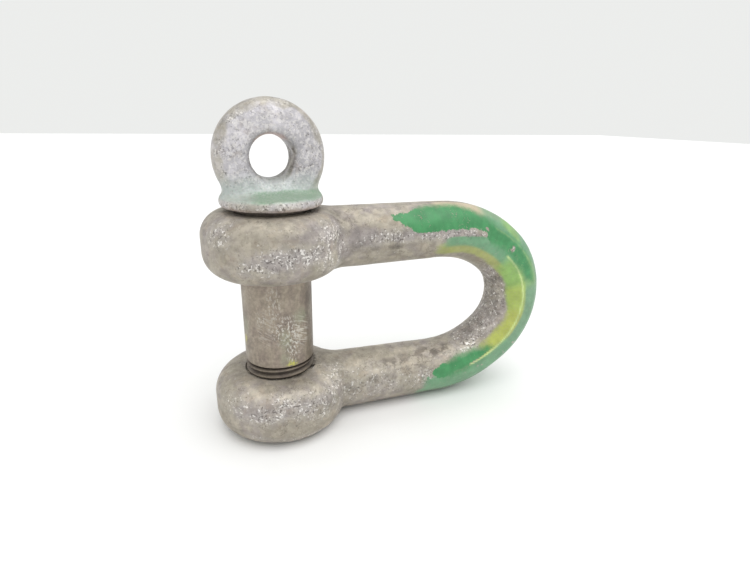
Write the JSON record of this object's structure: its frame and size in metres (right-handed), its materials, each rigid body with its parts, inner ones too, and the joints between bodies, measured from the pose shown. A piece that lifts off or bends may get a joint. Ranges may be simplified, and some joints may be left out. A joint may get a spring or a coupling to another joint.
{
  "type": "screw pin shackle",
  "caption": "Heavy galvanised D shackle with a threaded eye pin that unscrews from the lower ear and draws out of the upper ear.",
  "frame": {"origin": "on the pin's axis, midway between the two ears", "axes": "+Z along the pin towards its eye, +X in the plane of the bow towards its crown, +Y square to the plane of the bow"},
  "size_m": [0.3036, 0.109, 0.2632],
  "materials": {
    "galvanised_body": "weathered galvanised forging with green paint left round the bow",
    "worn_pin": "worn galvanised bar with a brown tint",
    "galvanised_eye": "matt weathered zinc"
  },
  "bodies": {
    "shackle": {"shackle_body": "galvanised_body"},
    "pin_slider": {"pin_shank": "worn_pin"},
    "pin_screw": {"pin_head": "galvanised_eye", "pin_thread": "worn_pin"}
  },
  "joints": [
    {"name": "pin_travel", "type": "slide", "parent": "shackle", "child": "pin_slider", "axis": [0, 0, 1], "range_m": [-0.00275, 0.187]},
    {"name": "pin_turn", "type": "hinge", "parent": "pin_slider", "child": "pin_screw", "pos_m": [0, 0, 0], "axis": [0, 0, 1], "range_deg": [-180, 12240]}
  ],
  "couplings": [
    {"joint": "pin_travel", "follows": "pin_turn", "m_per_rad": 0.00087535}
  ]
}
